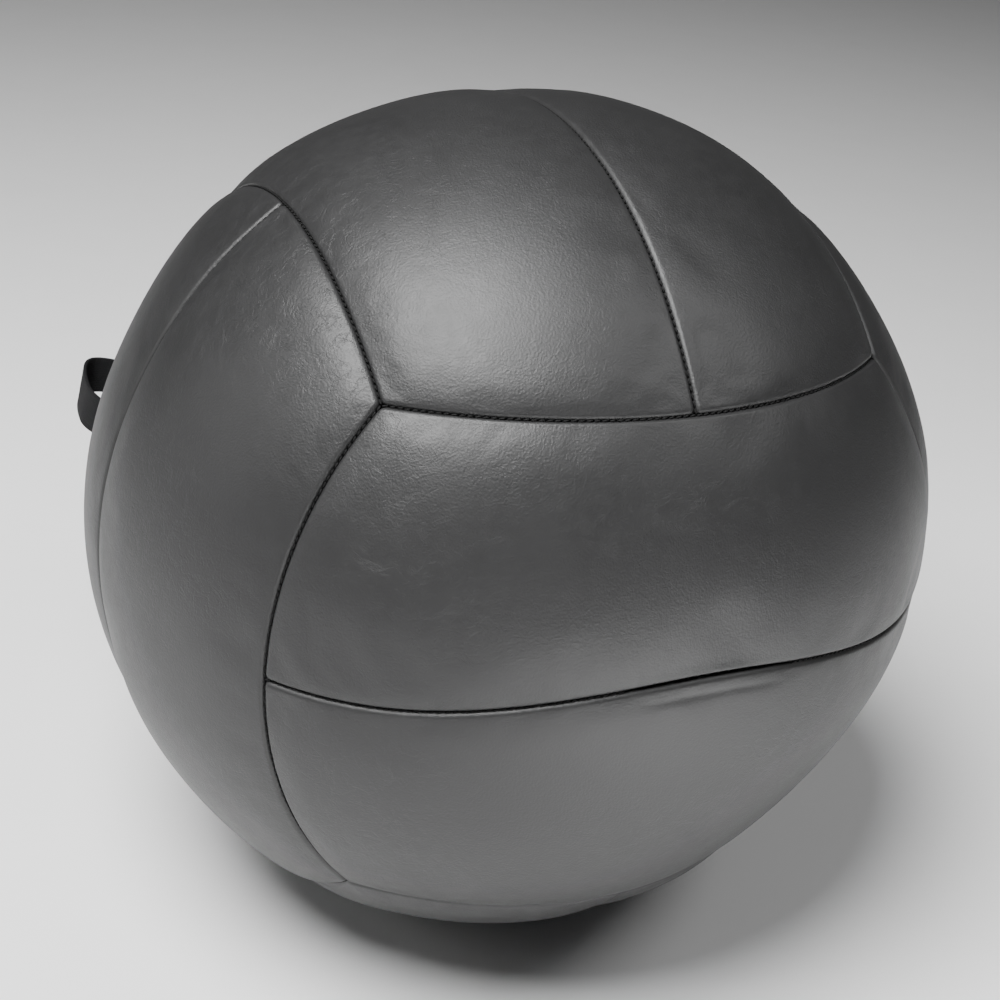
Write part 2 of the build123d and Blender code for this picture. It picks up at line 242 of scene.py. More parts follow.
def back_seam(share):
    """The direction to a place on the seam at the base panel's back end."""
    axis = Vector((0, -SEAM_BACK, SEAM_UP))
    toward = Vector((0, SEAM_UP, SEAM_BACK))
    return ring_point(axis, toward, Vector((-1, 0, 0)), share * SEAM_ARC)


def side_seam(share):
    """The direction to a place on the base panel's long outer seam."""
    axis = Vector((-SEAM_UP, 0, -SEAM_BACK))
    toward = Vector((-SEAM_BACK, 0, SEAM_UP))
    return ring_point(axis, toward, Vector((0, 1, 0)), share * SEAM_ARC)


def strip_direction(along, across):
    """The direction to a place on the base panel: along it from -1 to 1, and across from its middle seam."""
    back_share = (along + 1) / 2
    ruled = middle_seam(along) * (1 - across) + side_seam(along) * across
    ends = front_seam(across) * (1 - back_share) + back_seam(across) * back_share
    inner_corners = middle_seam(-1) * (1 - back_share) + middle_seam(1) * back_share
    outer_corners = side_seam(-1) * (1 - back_share) + side_seam(1) * back_share
    corners = inner_corners * (1 - across) + outer_corners * across
    return (ruled + ends - corners).normalized()


def strip_half_length(across):
    """Half the strip's length at a place across it, in metres."""
    return RADIUS * (JUNCTION_ANGLE * (1 - across) + SEAM_ARC * SEAM_SPREAD * across)


STRIP_WIDTH = RADIUS * SEAM_ARC * SEAM_SPREAD


def inset(along, across, margin):
    """A place on the strip, brought in so that the strip's edge keeps a margin to the seams."""
    side = margin / STRIP_WIDTH
    across_in = side + across * (1 - 2 * side)
    return along * (1 - margin / strip_half_length(across_in)), across_in


def seam_distance(along, across):
    """How far a place on the strip is from the nearest seam, in metres."""
    ends = (1 - abs(along)) * strip_half_length(across)
    return max(0.0, min(ends, across * STRIP_WIDTH, (1 - across) * STRIP_WIDTH))


def smooth_step(low, high, value):
    """0 at or before the low end, 1 at or past the high end, and an easy rise between them."""
    share = max(0.0, min(1.0, (value - low) / (high - low)))
    return share * share * (3 - 2 * share)


def closing_share(point):
    """How much a place lies in the hand-closed stretch: 0 outside it, 1 in its middle."""
    if point.y > 0:
        return 0.0
    return smooth_step(1.0, 0.25, abs(point.x - CLOSING_MIDDLE) / CLOSING_HALF_LENGTH)


def pucker(point, distance):
    """The small gathers that a seam pulls into the leather beside it."""
    place = point / PUCKER_LENGTH
    wave = noise.noise(place) + 0.6 * noise.noise(place * 2.1 + Vector((7, 3, 5)))
    broad = noise.noise(point / UNEVEN_LENGTH + Vector((2, 9, 4)))
    return PUCKER_HEIGHT * wave * exp(-distance / PUCKER_REACH) + UNEVEN_HEIGHT * broad


def crown_depth(distance):
    """How deep the unpuffed shell lies below the ball's full size, by distance from a seam."""
    return SEAM_DIP * exp(-(distance / DIP_WIDTH)**2)


def panel_turns():
    """Each panel's name and the turn that carries the base strip to it."""
    for cycle, names in enumerate(PANELS):
        for half_turn, name in zip(HALF_TURNS, names):
            yield name, CYCLE_TURNS[cycle] @ half_turn


def crowded(share, amount):
    """A share from 0 to 1, moved so that evenly spaced ones crowd towards both ends."""
    return share - amount * sin(2 * pi * share) / (2 * pi)


def strip_grid(long_cells, cross_cells):
    """A flat grid whose two layers say where each of its points lies on the strip."""
    bm = bmesh.new()
    bmesh.ops.create_grid(bm, x_segments=long_cells, y_segments=cross_cells, size=1.0)
    along = bm.verts.layers.float.new("along")
    across = bm.verts.layers.float.new("across")
    for vert in bm.verts:
        vert[along] = 2 * crowded((vert.co.x + 1) / 2, LONG_CROWDING) - 1
        vert[across] = crowded((vert.co.y + 1) / 2, CROSS_CROWDING)
    return bm, along, across


def new_object(name, bm):
    """A smooth-shaded object made from a finished mesh."""
    mesh = bpy.data.meshes.new(name)
    bm.to_mesh(mesh)
    bm.free()
    for polygon in mesh.polygons:
        polygon.use_smooth = True
    piece = bpy.data.objects.new(name, mesh)
    bpy.context.scene.collection.objects.link(piece)
    return piece


def rest_on_floor(point, height=0.0):
    """Keep a place at or above the floor, with a soft edge where the shell is pressed flat."""
    over = point.z - height
    if over <= 4 * FLOOR_SOFTNESS:
        point.z = height + (over + sqrt(over * over + FLOOR_SOFTNESS * FLOOR_SOFTNESS)) / 2


def grown_crowns():
    """Every panel's crown: the strip laid on the shell, before its edges are rolled in."""
    crowns = {}
    for name, turn in panel_turns():
        bm, along, across = strip_grid(LONG_CELLS, CROSS_CELLS)
        for vert in bm.verts:
            place = inset(vert[along], vert[across], ROLL_WIDTH)
            distance = seam_distance(*place)
            direction = turn @ strip_direction(*place)
            vert.co = shell_point(direction, crown_depth(distance))
        crowns[name] = (bm, along, across, turn)
    return crowns


def edge_target(along, across, turn):
    """Where the rolled edge of a strip ends: the nearest place on its seams."""
    along_in, across_in = inset(along, across, ROLL_WIDTH)
    along_out = round(along) if abs(along) > 0.9999 else along_in
    across_out = round(across) if min(across, 1 - across) < 0.0001 else across_in
    return shell_point(turn @ strip_direction(along_out, across_out), SEAM_DIP)


def rolled_panel(name, crown):
    """Roll a crown's edges down into its seams and turn them in as flanges."""
    bm, along, across, turn = crown
    rims = [edge for edge in bm.edges if edge.is_boundary]
    starts = {}
    for vert in {vert for edge in rims for vert in edge.verts}:
        target = edge_target(vert[along], vert[across], turn)
        gap = SEAM_HALF_GAP
        if name == "front_upper" and vert[across] < 0.001:
            gap += CLOSING_GAP * closing_share(vert.co)
        inward = (vert.co - target).normalized()
        starts[(vert[along], vert[across])] = (vert.co.copy(), target + inward * gap)
    bends = [pi / 2 * step / ROLL_STEPS for step in range(1, ROLL_STEPS + 1)]
    steps = [(sin(bend), ROLL_DEPTH * (1 - cos(bend))) for bend in bends]
    steps += [(1.0, ROLL_DEPTH + extra) for extra in FLANGE_STEPS]
    for share, depth in steps:
        grown = bmesh.ops.extrude_edge_only(bm, edges=rims)["geom"]
        rims = [item for item in grown if isinstance(item, bmesh.types.BMEdge)]
        for vert in [item for item in grown if isinstance(item, bmesh.types.BMVert)]:
            start, target = starts[(vert[along], vert[across])]
            inward = (CENTRE - start).normalized()
            vert.co = start.lerp(target, share) + inward * depth
    bmesh.ops.recalc_face_normals(bm, faces=bm.faces)
    for vert in bm.verts:
        rest_on_floor(vert.co)
    return new_object(name + "_cover", bm)


def joined_crowns(crowns):
    """The twelve crowns as one object, and how many points each of them has."""
    bm = bmesh.new()
    sizes = []
    for name, (crown, along, across, turn) in crowns.items():
        mesh = bpy.data.meshes.new("crown")
        crown.to_mesh(mesh)
        sizes.append((name, len(mesh.vertices)))
        bm.from_mesh(mesh)
        bpy.data.meshes.remove(mesh)
    return new_object("skin", bm), sizes


def rim_points(mesh):
    """The points of a mesh's open edges, which belong to one face each."""
    counts = [0] * len(mesh.edges)
    for polygon in mesh.polygons:
        for loop in polygon.loop_indices:
            counts[mesh.loops[loop].edge_index] += 1
    return sorted({point for edge in mesh.edges if counts[edge.index] == 1 for point in edge.vertices})


def add_cloth(skin):
    """Make the skin a cloth that pressure fills, held along every seam."""
    sewn = skin.vertex_groups.new(name="sewn")
    sewn.add(rim_points(skin.data), 1.0, "REPLACE")
    cloth = skin.modifiers.new("puff", "CLOTH")
    for name, value in CLOTH.items():
        setattr(cloth.settings, name, value)
    cloth.settings.vertex_group_mass = "sewn"
    cloth.settings.effector_weights.gravity = 0
    cloth.collision_settings.use_collision = False


def puff_up(crowns):
    """Lift the crowns as pressure lifts the cloth, with most of its own small wrinkles calmed."""
    skin, sizes = joined_crowns(crowns)
    add_cloth(skin)
    scene = bpy.context.scene
    for number in range(1, PUFF_FRAMES + 1):
        scene.frame_set(number)
    puffed = skin.evaluated_get(bpy.context.evaluated_depsgraph_get()).to_mesh()
    start = 0
    for name, size in sizes:
        crown = crowns[name][0]
        crown.verts.ensure_lookup_table()
        lifts = []
        for vert in crown.verts:
            move = puffed.vertices[start + vert.index].co - vert.co
            lifts.append(move.dot((vert.co - CENTRE).normalized()))
        calm = calmed(crown, lifts)
        for vert, lift, calm_lift in zip(crown.verts, lifts, calm):
            height = calm_lift + WRINKLE_SHARE * (lift - calm_lift)
            vert.co += (vert.co - CENTRE).normalized() * max(-SINK_LIMIT, min(PUFF_LIMIT, height))
        start += size
    scene.frame_set(1)
    bpy.data.objects.remove(skin)


def calmed(bm, lifts):
    """Lifts averaged with their neighbours' several times over; those on the seams stay."""
    for step in range(CALMING_STEPS):
        averages = []
        for vert, lift in zip(bm.verts, lifts):
            if vert.is_boundary:
                averages.append(lift)
                continue
            beside = [lifts[edge.other_vert(vert).index] for edge in vert.link_edges]
            averages.append((lift + sum(beside)) / (len(beside) + 1))
        lifts = averages
    return lifts


def gather(name, crown):
    """Add the small gathers beside the seams and the lips of the hand-closed stretch."""
    bm, along, across, turn = crown
    for vert in bm.verts:
        place = inset(vert[along], vert[across], ROLL_WIDTH)
        distance = seam_distance(*place)
        outward = (vert.co - CENTRE).normalized()
        lift = pucker(vert.co, distance)
        if name in ("front_lower", "front_upper"):
            from_middle = place[1] * STRIP_WIDTH
            lip = CLOSING_LIP * exp(-(from_middle / LIP_WIDTH)**2)
            if name == "front_lower":
                lip -= LIP_CREASE * exp(-((from_middle - LIP_CREASE_PLACE) / LIP_CREASE_WIDTH)**2)
            lift += lip * closing_share(vert.co)
        vert.co += outward * lift


def seam_curve(name, middle):
    """The pattern's direction along a seam, by a share from -1 to 1, and the seam's half length."""
    names, base = (MIDDLE_SEAMS, middle_seam) if middle else (EDGE_SEAMS, front_seam)
    for cycle, row in enumerate(names):
        if name in row:
            turn = CYCLE_TURNS[cycle] @ HALF_TURNS[row.index(name)]
            half = JUNCTION_ANGLE * RADIUS if middle else SEAM_ARC * SEAM_SPREAD * RADIUS
            return (lambda share: turn @ base(share)), half


def add_stitch(bm, middle, axes, half_length, radius):
    """One stitch: a plump length of thread, lying along the first of its three axes."""
    place = Matrix(axes).transposed().to_4x4()
    place.translation = middle
    shape = Matrix.Diagonal((half_length, radius, radius, 1)) @ Matrix.Rotation(pi / 2, 4, "Y")
    bmesh.ops.create_uvsphere(bm, u_segments=8, v_segments=6, radius=1.0, matrix=place @ shape)


def stitched_seam(name, middle):
    """A seam's row of lockstitches: short plump lengths of thread sunk between the rolled edges."""
    curve, half = seam_curve(name, middle)
    bm = bmesh.new()
    count = int(2 * half / STITCH_PITCH)
    for index in range(count):
        share = (index + 0.5) / count * 2 - 1
        here = shell_point(curve(share), SEAM_DIP + STITCH_DEPTH)
        ahead = shell_point(curve(share + SEAM_STEP), SEAM_DIP + STITCH_DEPTH)
        outward = (here - CENTRE).normalized()
        if name == "front" and closing_share(here) > CLOSING_LEAST:
            continue
        if name in ("back_left", "back") and (here - LOOP_ROOT).length < LOOP_HALF_WIDTH + STITCH_PITCH / 2:
            continue
        tangent = (ahead - here).normalized()
        side = outward.cross(tangent).normalized()
        slant = MIDDLE_SLANT if middle else EDGE_SLANT
        tangent = (tangent + side * slant).normalized()
        side = outward.cross(tangent).normalized()
        rest_on_floor(here, STITCH_RADIUS)
        add_stitch(bm, here, (tangent, side, outward), STITCH_LENGTH / 2, STITCH_RADIUS)
    return new_object("stitches_" + name, bm)


def closing_seam():
    """The hand stitches of the closed stretch: slanting lengths that cross from lip to lip."""
    curve, half = seam_curve("front", True)
    bm = bmesh.new()
    count = int(2 * half / CLOSING_PITCH)
    for index in range(count):
        share = (index + 0.5) / count * 2 - 1
        here = shell_point(curve(share), SEAM_DIP + CLOSING_DEPTH)
        if closing_share(here) <= CLOSING_LEAST:
            continue
        ahead = shell_point(curve(share + SEAM_STEP), SEAM_DIP + CLOSING_DEPTH)
        outward = (here - CENTRE).normalized()
        tangent = (ahead - here).normalized()
        across = outward.cross(tangent).normalized()
        slanted = (tangent * CLOSING_SLANT + across).normalized()
        side = outward.cross(slanted).normalized()
        add_stitch(bm, here, (slanted, side, outward), CLOSING_STITCH_HALF_LENGTH, CLOSING_STITCH_RADIUS)
    return new_object("closing_stitching", bm)


def foam_pad(name, turn):
    """A panel's foam pad: a strip as thick as the padding, with softened edges."""
    bm, along, across = strip_grid(PAD_LONG_CELLS, PAD_CROSS_CELLS)
    directions = {}
    for vert in bm.verts:
        place = inset(vert[along], vert[across], PAD_MARGIN + PAD_SOFT_EDGE)
        distance = seam_distance(*place)
        directions[(vert[along], vert[across])] = turn @ strip_direction(*place)
        rounding = PAD_ROUNDING * exp(-(distance - PAD_MARGIN) / PAD_ROUNDING_WIDTH)
        vert.co = shell_point(directions[(vert[along], vert[across])], PAD_OUTER_DEPTH + rounding)
    grown = bmesh.ops.extrude_face_region(bm, geom=list(bm.faces))["geom"]
    for vert in [item for item in grown if isinstance(item, bmesh.types.BMVert)]:
        direction = directions[(vert[along], vert[across])]
        vert.co = CENTRE + direction * (RADIUS - PAD_INNER_DEPTH)
    for vert in bm.verts:
        rest_on_floor(vert.co, PAD_OUTER_DEPTH)
    bmesh.ops.recalc_face_normals(bm, faces=bm.faces)
    return new_object(name + "_foam", bm)


# The carrying loop, in the frame where it leaves the ball: outward, round the ball, and up
joint = frame["joints"][0]
LOOP_ROOT = Vector(joint["pos_m"])
LOOP_UP = Vector(joint["axis"])
loop_low, loop_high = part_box("loop_webbing")
LOOP_HALF_WIDTH = (loop_high.z - loop_low.z) / 2
WEBBING = 0.0016
WEBBING_EDGE = 0.0005
LOOP_LEAN = radians(57)
LOOP_LENGTH = 0.0652
LOOP_SIDE = 0.0157
LOOP_WIDEST = 0.034
loop_outward = Vector((LOOP_ROOT.x, LOOP_ROOT.y, 0)).normalized()
LOOP_ALONG = Matrix.Rotation(-LOOP_LEAN, 3, LOOP_UP) @ loop_outward
LOOP_ACROSS = LOOP_UP.cross(LOOP_ALONG)
LOOP_CELLS = 26
WEBBING_CELLS = 12
STRAP_HALF_LENGTH = 0.075
SELVEDGE = 0.0002
LOOP_TWIST = 0.04
LOOP_SQUEEZE = 0.24        # how far the outer side is pressed towards the inner one
LOOP_TILT = 0.24           # and how much further at its upper edge


def loop_line(share):
    """The webbing's middle line, from one end in the seam, 0, round the loop to the other end, 1."""
    side = 1 if share <= 0.5 else -1
    part = (share if share <= 0.5 else 1 - share) * 2
    legs = [
        ((-0.0012, 0.0009), (0.004, 0.0009), (0.0075, 0.0015), (0.0105, 0.0040)),
        ((0.0105, 0.0040), (0.0165, 0.0090), (0.0235, LOOP_SIDE), (LOOP_WIDEST, LOOP_SIDE)),
        ((LOOP_WIDEST, LOOP_SIDE), (0.0480, LOOP_SIDE), (0.0600, 0.0125), (0.0635, 0.0060)),
        ((0.0635, 0.0060), (0.0646, 0.0038), (LOOP_LENGTH, 0.0018), (LOOP_LENGTH, 0.0)),
    ]
    ends = (0.0, 0.16, 0.52, 0.90, 1.0)
    for leg, start, end in zip(legs, ends, ends[1:]):
        if part <= end:
            t = (part - start) / (end - start)
            weights = ((1 - t)**3, 3 * t * (1 - t)**2, 3 * t * t * (1 - t), t**3)
            x = sum(weight * point[0] for weight, point in zip(weights, leg))
            y = sum(weight * point[1] for weight, point in zip(weights, leg))
            return x, side * y
    return LOOP_LENGTH, 0.0


def webbing_loop():
    """The loop of woven webbing: a flat strap folded back on itself, pressed and twisted a little."""
    bm = bmesh.new()
    bmesh.ops.create_grid(bm, x_segments=4 * LOOP_CELLS, y_segments=WEBBING_CELLS, size=1.0)
    uv = bm.loops.layers.uv.new("weave")
    for face in bm.faces:
        for corner in face.loops:
            corner[uv].uv = (corner.vert.co.x * STRAP_HALF_LENGTH, corner.vert.co.y * LOOP_HALF_WIDTH)
    for vert in bm.verts:
        share = (vert.co.x + 1) / 2
        across = vert.co.y
        x, y = loop_line(share)
        twist = LOOP_TWIST * sin(pi * share) * (x / LOOP_LENGTH)
        height = across * (LOOP_HALF_WIDTH - SELVEDGE) + twist * y
        if y > 0:
            y *= 1 - LOOP_SQUEEZE - LOOP_TILT * (1 + across) / 2
        vert.co = LOOP_ROOT + LOOP_ALONG * x + LOOP_ACROSS * y + LOOP_UP * height
    bmesh.ops.recalc_face_normals(bm, faces=bm.faces)
    strap = new_object("carrying_loop", bm)
    wall = strap.modifiers.new("thickness", "SOLIDIFY")
    wall.thickness = WEBBING
    wall.offset = 0
    edge = strap.modifiers.new("edges", "BEVEL")
    edge.width = WEBBING_EDGE
    edge.segments = 2
    edge.limit_method = "ANGLE"
    return strap


class Amount:
    """A number that varies over a surface; sums written with it become Math nodes."""

    def __init__(self, finish, socket):
        self.finish = finish
        self.socket = socket

    def math(self, operation, first, second=0.0):
        """The result of a Math node on two amounts or numbers."""
        return self.finish.node("ShaderNodeMath", {"operation": operation}, {0: first, 1: second})

    def __add__(self, other):
        return self.math("ADD", self, other)

    __radd__ = __add__

    def __sub__(self, other):
        return self.math("SUBTRACT", self, other)

    def __rsub__(self, other):
        return self.math("SUBTRACT", other, self)

    def __mul__(self, other):
        return self.math("MULTIPLY", self, other)

    __rmul__ = __mul__

    def __truediv__(self, other):
        return self.math("DIVIDE", self, other)


def abs_of(amount):
    """An amount without its sign."""
    return amount.math("ABSOLUTE", amount)


class Finish:
    """One material and its nodes."""

    def __init__(self, name, **constants):
        self.material = bpy.data.materials.new(name)
        self.material.use_nodes = True
        self.tree = self.material.node_tree
        self.shader = self.tree.nodes["Principled BSDF"]
        for socket, value in constants.items():
            self.shader.inputs[socket.replace("_", " ").title().replace("Ior", "IOR")].default_value = value

    def node(self, kind, settings, inputs, output=0):
        """Add a node: its settings first, then the values or links of its sockets."""
        node = self.tree.nodes.new(kind)
        for key, value in settings.items():
            if key == "stops":
                ramp = node.color_ramp
                while len(ramp.elements) < len(value):
                    ramp.elements.new(1.0)
                for element, (position, shade) in zip(ramp.elements, value):
                    element.position = position
                    element.color = (shade, shade, shade, 1.0)
            else:
                setattr(node, key, value)
        for key, value in inputs.items():
            if isinstance(value, Amount):
                self.tree.links.new(value.socket, node.inputs[key])
            else:
                node.inputs[key].default_value = value
        return Amount(self, node.outputs[output])

    def place(self):
        """The place on the object, in metres."""
        return self.node("ShaderNodeTexCoord", {}, {}, "Object")

    def noise(self, place, size, detail=2.0, roughness=0.5, distortion=0.0):
        """Cloudy noise, around 0.5, whose features are about a size in metres."""
        inputs = {"Vector": place, "Scale": 1 / size, "Detail": detail}
        inputs["Roughness"] = roughness
        inputs["Distortion"] = distortion
        return self.node("ShaderNodeTexNoise", {}, inputs, "Fac")

    def cells(self, place, size, feature="F1", randomness=1.0):
        """The distance to the nearest of scattered points that lie about a size apart."""
        inputs = {"Vector": place, "Scale": 1 / size, "Randomness": randomness}
        return self.node("ShaderNodeTexVoronoi", {"feature": feature}, inputs, "Distance")

    def ramp(self, value, *stops):
        """A value sent through a ramp of greys, each stop a position and a shade."""
        return self.node("ShaderNodeValToRGB", {"stops": stops}, {"Fac": value}, "Color")

    def stirred(self, place, size, amount):
        """A place moved a little by noise, so that lines drawn on it wander."""
        inputs = {"Vector": place, "Scale": 1 / size, "Detail": 2.0}
        swirl = self.node("ShaderNodeTexNoise", {}, inputs, "Color")
        centred = self.node("ShaderNodeVectorMath", {"operation": "SUBTRACT"}, {0: swirl, 1: (0.5, 0.5, 0.5)})
        moved = self.node("ShaderNodeVectorMath", {"operation": "SCALE"}, {0: centred, "Scale": amount})
        return self.node("ShaderNodeVectorMath", {"operation": "ADD"}, {0: place, 1: moved})

    def colour(self, factor, first, second):
        """Set the colour between two; the Mix node's colours are its sockets 6 and 7, and its result 2."""
        inputs = {"Factor": factor, 6: (*first, 1.0), 7: (*second, 1.0)}
        mixed = self.node("ShaderNodeMix", {"data_type": "RGBA"}, inputs, 2)
        self.tree.links.new(mixed.socket, self.shader.inputs["Base Color"])

    def roughness(self, value):
        """Set how rough the surface is, from 0 for a mirror to 1."""
        self.tree.links.new(value.socket, self.shader.inputs["Roughness"])

    def relief(self, *layers):
        """Bumps over bumps: each layer is a height and its depth in metres."""
        normal = None
        for height, depth in layers:
            inputs = {"Height": height, "Distance": depth, "Strength": 1.0}
            if normal:
                inputs["Normal"] = normal
            normal = self.node("ShaderNodeBump", {}, inputs, "Normal")
        self.tree.links.new(normal.socket, self.shader.inputs["Normal"])


def black_leather():
    """Soft black leathercloth: a fine pebbled grain, wandering wrinkles in places, and a patchy sheen."""
    finish = Finish("black_leather", specular_ior_level=0.46)
    place = finish.place()
    pebbles = finish.cells(finish.stirred(place, 0.003, 0.0008), 0.0009)
    pores = finish.noise(place, 0.0005, 2.0, 0.6)
    fine_lines = finish.noise(finish.stirred(place, 0.006, 0.004), 0.0022, 4.0, 0.65, 0.6)
    wrinkle_lines = finish.noise(finish.stirred(place, 0.02, 0.012), 0.009, 5.0, 0.65, 0.8)
    wrinkles = finish.ramp(abs_of(wrinkle_lines - 0.5), (0.0, 0.0), (0.035, 1.0))
    patches = finish.noise(place, 0.075, 3.0, 0.55)
    wrinkled_here = finish.ramp(patches, (0.42, 0.15), (0.66, 1.0))
    mottle = finish.noise(place, 0.030, 3.0, 0.5)
    cloudy = finish.noise(place, 0.005, 3.0, 0.6)
    grain = pebbles * 0.45 + pores * 0.25 + fine_lines * 0.6
    folds = 1 - (1 - wrinkles) * wrinkled_here
    finish.colour(mottle * 0.4 + cloudy * 0.6, (0.0085, 0.0085, 0.0087), (0.0165, 0.0165, 0.0168))
    finish.roughness(0.37 + mottle * 0.08 + cloudy * 0.10 + pores * 0.06)
    finish.relief((mottle, 0.00018), (folds, 0.00005), (grain, 0.00013))
    return finish.material


def black_thread():
    """Bonded thread: a shallow twist and a faint gloss."""
    finish = Finish("black_thread", specular_ior_level=0.15)
    place = finish.place()
    fibres = finish.noise(place, 0.00035, 3.0, 0.6)
    finish.colour(fibres, (0.003, 0.003, 0.003), (0.010, 0.010, 0.010))
    finish.roughness(0.70 + fibres * 0.2)
    finish.relief((fibres, 0.00012))
    return finish.material


def black_webbing():
    """Woven webbing: short ribs across the strap in a plain weave, with a little fuzz."""
    finish = Finish("black_webbing", specular_ior_level=0.2)
    uv = finish.node("ShaderNodeUVMap", {"uv_map": "weave"}, {})
    long = finish.node("ShaderNodeSeparateXYZ", {}, {0: uv}, "X")
    wide = finish.node("ShaderNodeSeparateXYZ", {}, {0: uv}, "Y")
    ribs = long.math("SINE", long * (2 * pi / 0.0011) + wide * (pi / 0.0012))
    ends = wide.math("SINE", wide * (2 * pi / 0.0012))
    fuzz = finish.noise(finish.place(), 0.0004, 3.0, 0.6)
    weave = ribs * 0.35 + ends * 0.25 + 0.5
    finish.colour(weave * 0.7 + fuzz * 0.3, (0.002, 0.002, 0.0025), (0.007, 0.007, 0.0075))
    finish.roughness(0.70 + fuzz * 0.25)
    finish.relief((weave, 0.00025), (fuzz, 0.00008))
    return finish.material


def plain_webbing():
    """The same webbing where it is sewn in, out of sight."""
    finish = Finish("sewn_in_webbing", sheen_weight=0.25)
    place = finish.place()
    threads = finish.cells(place, 0.0012, "F1", 0.3)
    fuzz = finish.noise(place, 0.0004, 3.0, 0.6)
    finish.colour(threads, (0.007, 0.007, 0.008), (0.024, 0.024, 0.026))
    finish.roughness(0.6 + fuzz * 0.2)
    finish.relief((threads, 0.0003), (fuzz, 0.0001))
    return finish.material


def pale_foam():
    """Open-cell foam: rounded pores of mixed sizes."""
    finish = Finish("pale_foam", subsurface_weight=0.1)
    place = finish.place()
    large = finish.cells(place, 0.0026)
    small = finish.cells(place, 0.0011)
    finish.colour(large * 0.5 + small * 0.5, (0.42, 0.40, 0.33), (0.68, 0.66, 0.58))
    finish.roughness(0.8 + small * 0.15)
    finish.relief((large, 0.0008), (small, 0.0004))
    return finish.material


def woven_cloth(name, dark, light, pitch):
    """Plain-woven cloth, its threads drawn by crossing waves on all three directions."""
    finish = Finish(name, sheen_weight=0.2)
    place = finish.place()
    wandering = finish.stirred(place, 0.02, 0.0015)
    axes = [finish.node("ShaderNodeSeparateXYZ", {}, {0: wandering}, axis) for axis in "XYZ"]
    waves = [axis.math("SINE", axis * (2 * pi / pitch)) for axis in axes]
    weave = (waves[0] + waves[1] + waves[2]) / 6 + 0.5
    slubs = finish.noise(place, 0.012, 4.0, 0.6)
    finish.colour(weave * 0.5 + slubs * 0.5, dark, light)
    finish.roughness(0.75 + slubs * 0.2)
    finish.relief((weave, 0.0003), (slubs, 0.0003))
    return finish.material


def packed_fibre():
    """Textile scrap and fibre pressed together: tangled strands in several greys."""
    finish = Finish("packed_fibre", sheen_weight=0.4)
    place = finish.place()
    strands = finish.noise(finish.stirred(place, 0.03, 0.03), 0.006, 6.0, 0.7, 1.5)
    clumps = finish.cells(finish.stirred(place, 0.02, 0.02), 0.028)
    finish.colour(strands * 0.6 + clumps * 0.4, (0.22, 0.22, 0.23), (0.62, 0.60, 0.57))
    finish.roughness(0.85 + strands * 0.1)
    finish.relief((clumps, 0.004), (strands, 0.002))
    return finish.material


def iron_sand():
    """Loose iron grains, dull and slightly rusty."""
    finish = Finish("iron_sand")
    place = finish.place()
    grains = finish.cells(place, 0.0011)
    rust = finish.noise(place, 0.02, 4.0, 0.6)
    finish.colour(rust, (0.060, 0.052, 0.047), (0.150, 0.105, 0.080))
    finish.roughness(0.45 + grains * 0.35)
    finish.relief((grains, 0.0006), (rust, 0.0004))
    return finish.material


def backing_leather():
    """The undyed back of leathercloth: short nap on a knitted ground."""
    finish = Finish("backing_leather", sheen_weight=0.3)
    place = finish.place()
    nap = finish.noise(place, 0.0007, 4.0, 0.65)
    ground = finish.cells(place, 0.0014, "F1", 0.4)
    finish.colour(nap * 0.6 + ground * 0.4, (0.030, 0.029, 0.027), (0.085, 0.082, 0.076))
    finish.roughness(0.8 + nap * 0.15)
    finish.relief((ground, 0.0002), (nap, 0.0002))
    return finish.material


def dress(piece, material):
    """Give a piece its material."""
    piece.data.materials.clear()
    piece.data.materials.append(material)


def build_covers(leather):
    """The twelve leather covers: filled out, gathered at the seams and rolled in at their edges."""
    crowns = grown_crowns()
    puff_up(crowns)
    for name, crown in crowns.items():
        gather(name, crown)
        cover = rolled_panel(name, crown)
        wall = cover.modifiers.new("leather", "SOLIDIFY")
        wall.thickness = LEATHER
        wall.offset = -1
        smooth = cover.modifiers.new("smooth", "SUBSURF")
        smooth.levels = 1
        smooth.render_levels = 1
        dress(cover, leather)
        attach(cover, "ball")
        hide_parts("panel_" + name)


def build_pads(foam):
    """The foam pads behind the covers."""
    for name, turn in panel_turns():
        pad = foam_pad(name, turn)
        dress(pad, foam)
        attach(pad, "ball")
        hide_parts("foam_" + name)


def build_stitching(thread):
    """Every seam's row of stitches, and the hand stitches of the closed stretch."""
    for rows, middle in ((MIDDLE_SEAMS, True), (EDGE_SEAMS, False)):
        for name in sum(rows, []):
            row = stitched_seam(name, middle)
            dress(row, thread)
            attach(row, "ball")
            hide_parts("thread_" + name)
    closing = closing_seam()
    dress(closing, thread)
    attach(closing, "ball")
    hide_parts("closing_stitches")


def dress_inner_pieces(thread):
    """Give the pieces inside the shell, which keep their own shapes, their materials."""
    inner = {
        "liner_upper": woven_cloth("unbleached_cotton", (0.36, 0.34, 0.29), (0.62, 0.60, 0.54), 0.0010),
        "fibre_fill_upper": packed_fibre(),
        "core_bag_upper": woven_cloth("close_woven_cloth", (0.10, 0.105, 0.12), (0.24, 0.25, 0.28), 0.0008),
        "core_weight": iron_sand(),
        "loop_patch": backing_leather(),
        "loop_tail": plain_webbing(),
        "loop_bartacks": thread,
        "liner_thread": thread,
        "core_thread": thread,
    }
    for name, material in inner.items():
        for node in (name, name.replace("upper", "lower")):
            piece = frame["nodes"][node]
            piece.data.materials.clear()
            piece.data.materials.append(material)


def build_loop():
    """The carrying loop: webbing whose ends lie in the seam, made in place of the frame's webbing."""
    strap = webbing_loop()
    dress(strap, black_webbing())
    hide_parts("loop_webbing")
    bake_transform(strap)


